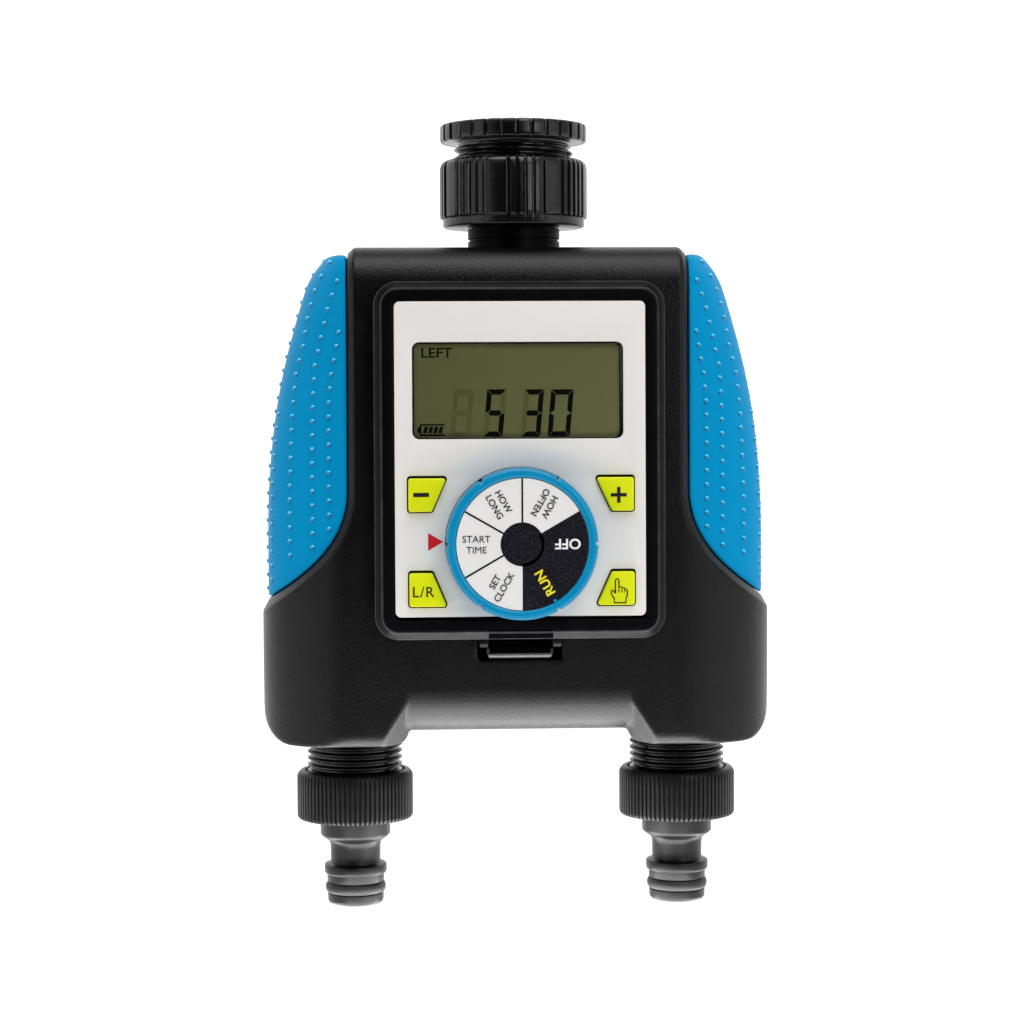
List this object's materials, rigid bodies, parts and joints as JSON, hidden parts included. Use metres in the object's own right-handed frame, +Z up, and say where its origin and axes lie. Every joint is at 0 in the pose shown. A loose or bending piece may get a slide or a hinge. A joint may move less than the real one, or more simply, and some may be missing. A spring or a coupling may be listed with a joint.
{
  "type": "drip irrigation timer",
  "caption": "Tap-mounted watering timer with a swivel threaded inlet, pull-off display module with selector dial and keys, and a pair of quick-connect outlets.",
  "frame": {"origin": "centre of the inlet adapter's threaded mouth", "axes": "+Z up along the inlet thread towards the tap, front face and display look along -Y, +X to the right seen from the front"},
  "size_m": [0.1416, 0.077, 0.2167],
  "materials": {
    "black_housing": "fine moulded texture, satin",
    "black_fitting": "semi-gloss glass-filled plastic",
    "blue_grip": "soft-touch, moulded dots",
    "dial_blue": "satin",
    "dial_print": "printed disc",
    "pale_plate": "satin sheet",
    "clear_window": "clear",
    "lcd_olive": "reflective LCD",
    "board_green": "solder resist",
    "switch_grey": "moulded",
    "lime_key": "silicone-coated, satin",
    "seal_rubber": "moulded rubber",
    "diaphragm_rubber": "moulded rubber",
    "valve_nylon": "natural nylon",
    "coil_wrap": "taped winding",
    "steel": "zinc-plated or stainless",
    "contact_gold": "plated contacts",
    "cell_wrap": "shrink-sleeved cells",
    "screen_mesh": "fine stainless mesh"
  },
  "bodies": {
    "housing": {"front_housing": "black_housing", "rear_housing": "black_housing", "left_grip": "blue_grip", "right_grip": "blue_grip", "housing_seal": "seal_rubber", "housing_screws": "steel", "inlet_manifold": "black_fitting", "inlet_seal": "seal_rubber", "left_valve_body": "black_fitting", "right_valve_body": "black_fitting", "left_diaphragm": "diaphragm_rubber", "right_diaphragm": "diaphragm_rubber", "left_bonnet": "valve_nylon", "right_bonnet": "valve_nylon", "left_solenoid_coil": "coil_wrap", "right_solenoid_coil": "coil_wrap", "left_return_spring": "steel", "right_return_spring": "steel", "valve_screws": "steel", "manifold_seals": "seal_rubber", "contact_plug": "contact_gold"},
    "control_module": {"bezel": "black_housing", "faceplate": "pale_plate", "lcd_window": "clear_window", "lcd_panel": "lcd_olive", "circuit_board": "board_green", "rotary_encoder": "switch_grey", "tact_switches": "switch_grey", "battery_tray": "black_housing", "battery_cells": "cell_wrap", "battery_contacts": "contact_gold", "battery_springs": "steel", "module_back_cover": "black_housing", "battery_door": "black_housing", "module_screws": "steel", "contact_socket": "switch_grey"},
    "dial": {"dial_ring": "dial_blue", "dial_insert": "dial_print", "dial_shaft": "switch_grey"},
    "minus_key": {"minus_button": "lime_key"},
    "plus_key": {"plus_button": "lime_key"},
    "outlet_key": {"outlet_button": "lime_key"},
    "manual_key": {"manual_button": "lime_key"},
    "latch": {"release_latch": "black_housing"},
    "inlet_swivel": {"inlet_nut": "black_fitting", "inlet_adapter": "black_fitting", "adapter_washer": "seal_rubber", "filter_screen": "screen_mesh"},
    "left_washer_carrier": {"left_connector_washer": "seal_rubber"},
    "left_outlet": {"left_connector": "black_fitting", "left_o_ring": "seal_rubber"},
    "right_washer_carrier": {"right_connector_washer": "seal_rubber"},
    "right_outlet": {"right_connector": "black_fitting", "right_o_ring": "seal_rubber"},
    "left_armature": {"left_plunger": "steel"},
    "right_armature": {"right_plunger": "steel"}
  },
  "joints": [
    {"name": "module_pull", "type": "slide", "parent": "housing", "child": "control_module", "axis": [0, -1, 0], "range_m": [0, 0.04]},
    {"name": "dial_turn", "type": "hinge", "parent": "control_module", "child": "dial", "pos_m": [0, -0.039, -0.1141], "axis": [0, -1, 0], "continuous": true},
    {"name": "minus_press", "type": "slide", "parent": "control_module", "child": "minus_key", "axis": [0, 1, 0], "range_m": [0, 0.0008], "stiffness_N_per_m": 600},
    {"name": "plus_press", "type": "slide", "parent": "control_module", "child": "plus_key", "axis": [0, 1, 0], "range_m": [0, 0.0008], "stiffness_N_per_m": 600},
    {"name": "outlet_press", "type": "slide", "parent": "control_module", "child": "outlet_key", "axis": [0, 1, 0], "range_m": [0, 0.0008], "stiffness_N_per_m": 600},
    {"name": "manual_press", "type": "slide", "parent": "control_module", "child": "manual_key", "axis": [0, 1, 0], "range_m": [0, 0.0008], "stiffness_N_per_m": 600},
    {"name": "latch_press", "type": "slide", "parent": "housing", "child": "latch", "axis": [0, 1, 0], "range_m": [0, 0.0015], "stiffness_N_per_m": 900},
    {"name": "inlet_spin", "type": "hinge", "parent": "housing", "child": "inlet_swivel", "pos_m": [0, 0, -0.019], "axis": [0, 0, 1], "continuous": true},
    {"name": "left_thread_travel", "type": "slide", "parent": "housing", "child": "left_washer_carrier", "axis": [0, 0, -1], "range_m": [0, 0.0063]},
    {"name": "left_unscrew", "type": "hinge", "parent": "left_washer_carrier", "child": "left_outlet", "pos_m": [-0.0451, 0, -0.19], "axis": [0, 0, -1], "range_deg": [0, 1260]},
    {"name": "left_valve_lift", "type": "slide", "parent": "housing", "child": "left_armature", "axis": [0, 0, 1], "range_m": [0, 0.002], "stiffness_N_per_m": 150, "springref_m": -0.004, "deforming": ["left_return_spring"]},
    {"name": "right_thread_travel", "type": "slide", "parent": "housing", "child": "right_washer_carrier", "axis": [0, 0, -1], "range_m": [0, 0.0063]},
    {"name": "right_unscrew", "type": "hinge", "parent": "right_washer_carrier", "child": "right_outlet", "pos_m": [0.0451, 0, -0.19], "axis": [0, 0, -1], "range_deg": [0, 1260]},
    {"name": "right_valve_lift", "type": "slide", "parent": "housing", "child": "right_armature", "axis": [0, 0, 1], "range_m": [0, 0.002], "stiffness_N_per_m": 150, "springref_m": -0.004, "deforming": ["right_return_spring"]}
  ],
  "couplings": [
    {"joint": "left_unscrew", "follows": "left_thread_travel", "rad_per_m": 3463.7},
    {"joint": "right_unscrew", "follows": "right_thread_travel", "rad_per_m": 3463.7}
  ]
}
